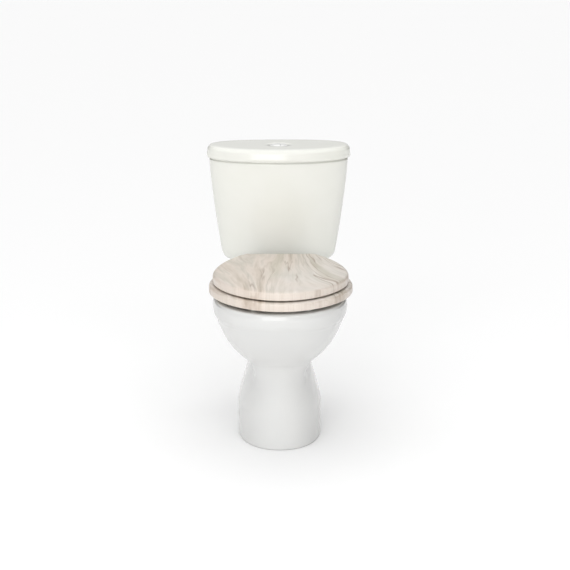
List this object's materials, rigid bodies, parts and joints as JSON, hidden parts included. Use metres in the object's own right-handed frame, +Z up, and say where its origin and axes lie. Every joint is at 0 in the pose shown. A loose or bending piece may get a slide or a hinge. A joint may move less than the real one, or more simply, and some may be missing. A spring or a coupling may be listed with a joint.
{
  "type": "close coupled toilet",
  "caption": "Close coupled toilet: bowl on a flared pedestal, bow-fronted cistern with a lift-off lid and push button, and a hinged wood-effect seat and lid.",
  "frame": {"origin": "on the floor, at the middle of the overall width and of the depth from the seat's front to the wall", "axes": "+X to the right seen from the front, +Y back towards the wall, +Z up"},
  "size_m": [0.39, 0.66, 0.7295],
  "materials": {
    "china": "glossy warm white glaze",
    "driftwood": "satin pale driftwood film wrapped over a moulded wood core",
    "plated": "bright plated hinge metal",
    "zinc_steel": "zinc plated steel",
    "brass": "drawn brass",
    "black_rubber": "matt moulded rubber",
    "foam": "closed cell foam",
    "clear_pad": "soft milky buffer",
    "gloss_white": "gloss white moulding",
    "white_plastic": "satin white moulding",
    "grey_plastic": "satin grey moulding",
    "blue_plastic": "satin blue moulding"
  },
  "bodies": {
    "pan_and_cistern": {"pan_rim": "china", "pan_bowl": "china", "pan_trap": "china", "pan_foot": "china", "pan_inlet": "china", "pan_shelf": "china", "cistern_body": "china", "valve_base": "white_plastic", "valve_tower": "white_plastic", "valve_washer": "black_rubber", "valve_backnut": "grey_plastic", "coupling_washer": "foam", "fill_valve_body": "white_plastic", "fill_washer": "black_rubber", "fill_backnut": "white_plastic", "fill_valve_head": "grey_plastic", "cistern_bolt_left": "zinc_steel", "cistern_bolt_right": "zinc_steel", "cone_washer_left": "black_rubber", "cone_washer_right": "black_rubber", "cistern_wing_nut_left": "zinc_steel", "cistern_wing_nut_right": "zinc_steel", "screw_cap_left": "white_plastic", "screw_cap_right": "white_plastic", "hinge_post_left": "plated", "hinge_post_right": "plated", "hinge_washer_left": "clear_pad", "hinge_washer_right": "clear_pad", "hinge_pin_left": "plated", "hinge_pin_right": "plated", "seat_bolt_left": "zinc_steel", "seat_bolt_right": "zinc_steel", "seat_nut_left": "white_plastic", "seat_nut_right": "white_plastic"},
    "seat_ring_swing": {"seat_ring": "driftwood", "ring_arm_left": "plated", "ring_arm_right": "plated", "ring_buffer_front_left": "clear_pad", "ring_buffer_front_right": "clear_pad", "ring_buffer_rear_left": "clear_pad", "ring_buffer_rear_right": "clear_pad"},
    "seat_lid_swing": {"seat_lid": "driftwood", "lid_arm_left": "plated", "lid_arm_right": "plated", "lid_buffer_left": "clear_pad", "lid_buffer_right": "clear_pad"},
    "cistern_lid_lifted": {"cistern_lid": "china", "button_housing": "gloss_white", "button_nut": "grey_plastic"},
    "full_flush": {"full_flush_button": "gloss_white", "full_flush_rod": "grey_plastic"},
    "half_flush": {"half_flush_button": "gloss_white", "half_flush_rod": "grey_plastic"},
    "lifting_core": {"valve_core": "blue_plastic", "valve_seal": "black_rubber"},
    "rocker": {"flush_rocker": "grey_plastic"},
    "latch": {"half_flush_latch": "grey_plastic"},
    "water_float": {"fill_float": "white_plastic", "float_rod": "brass"},
    "valve_arm": {"float_arm": "grey_plastic"}
  },
  "joints": [
    {"name": "seat_ring_hinge", "type": "hinge", "parent": "pan_and_cistern", "child": "seat_ring_swing", "pos_m": [0.002, 0.108, 0.44], "axis": [1, 0, 0], "range_deg": [-92, 0]},
    {"name": "seat_lid_hinge", "type": "hinge", "parent": "seat_ring_swing", "child": "seat_lid_swing", "pos_m": [0.002, 0.108, 0.44], "axis": [-1, 0, 0], "range_deg": [0, 92]},
    {"name": "cistern_lid_lift", "type": "slide", "parent": "pan_and_cistern", "child": "cistern_lid_lifted", "axis": [0, 0, 1], "range_m": [0, 0.15]},
    {"name": "full_flush_press", "type": "slide", "parent": "cistern_lid_lifted", "child": "full_flush", "axis": [0, 0, -1], "range_m": [0, 0.006], "stiffness_N_per_m": 300, "springref_m": -0.002},
    {"name": "half_flush_press", "type": "slide", "parent": "cistern_lid_lifted", "child": "half_flush", "axis": [0, 0, -1], "range_m": [0, 0.006], "stiffness_N_per_m": 300, "springref_m": -0.002},
    {"name": "rocker_turn", "type": "hinge", "parent": "pan_and_cistern", "child": "rocker", "pos_m": [-0.019, 0.237, 0.672], "axis": [0, 1, 0], "range_deg": [0, 36]},
    {"name": "core_lift", "type": "slide", "parent": "pan_and_cistern", "child": "lifting_core", "axis": [0, 0, 1], "range_m": [0, 0.006]},
    {"name": "latch_turn", "type": "hinge", "parent": "pan_and_cistern", "child": "latch", "pos_m": [0.022, 0.237, 0.672], "axis": [0, -1, 0], "range_deg": [0, 39.5]},
    {"name": "float_rise", "type": "slide", "parent": "pan_and_cistern", "child": "water_float", "axis": [0, 0, 1], "range_m": [0, 0.012]},
    {"name": "valve_arm_turn", "type": "hinge", "parent": "pan_and_cistern", "child": "valve_arm", "pos_m": [-0.094, 0.237, 0.648], "axis": [0, -1, 0], "range_deg": [0, 29]}
  ],
  "couplings": [
    {"joint": "rocker_turn", "follows": "full_flush_press", "rad_per_m": 103.3},
    {"joint": "core_lift", "follows": "full_flush_press", "ratio": 1},
    {"joint": "latch_turn", "follows": "half_flush_press", "rad_per_m": 113.3},
    {"joint": "valve_arm_turn", "follows": "float_rise", "rad_per_m": 41.67}
  ]
}
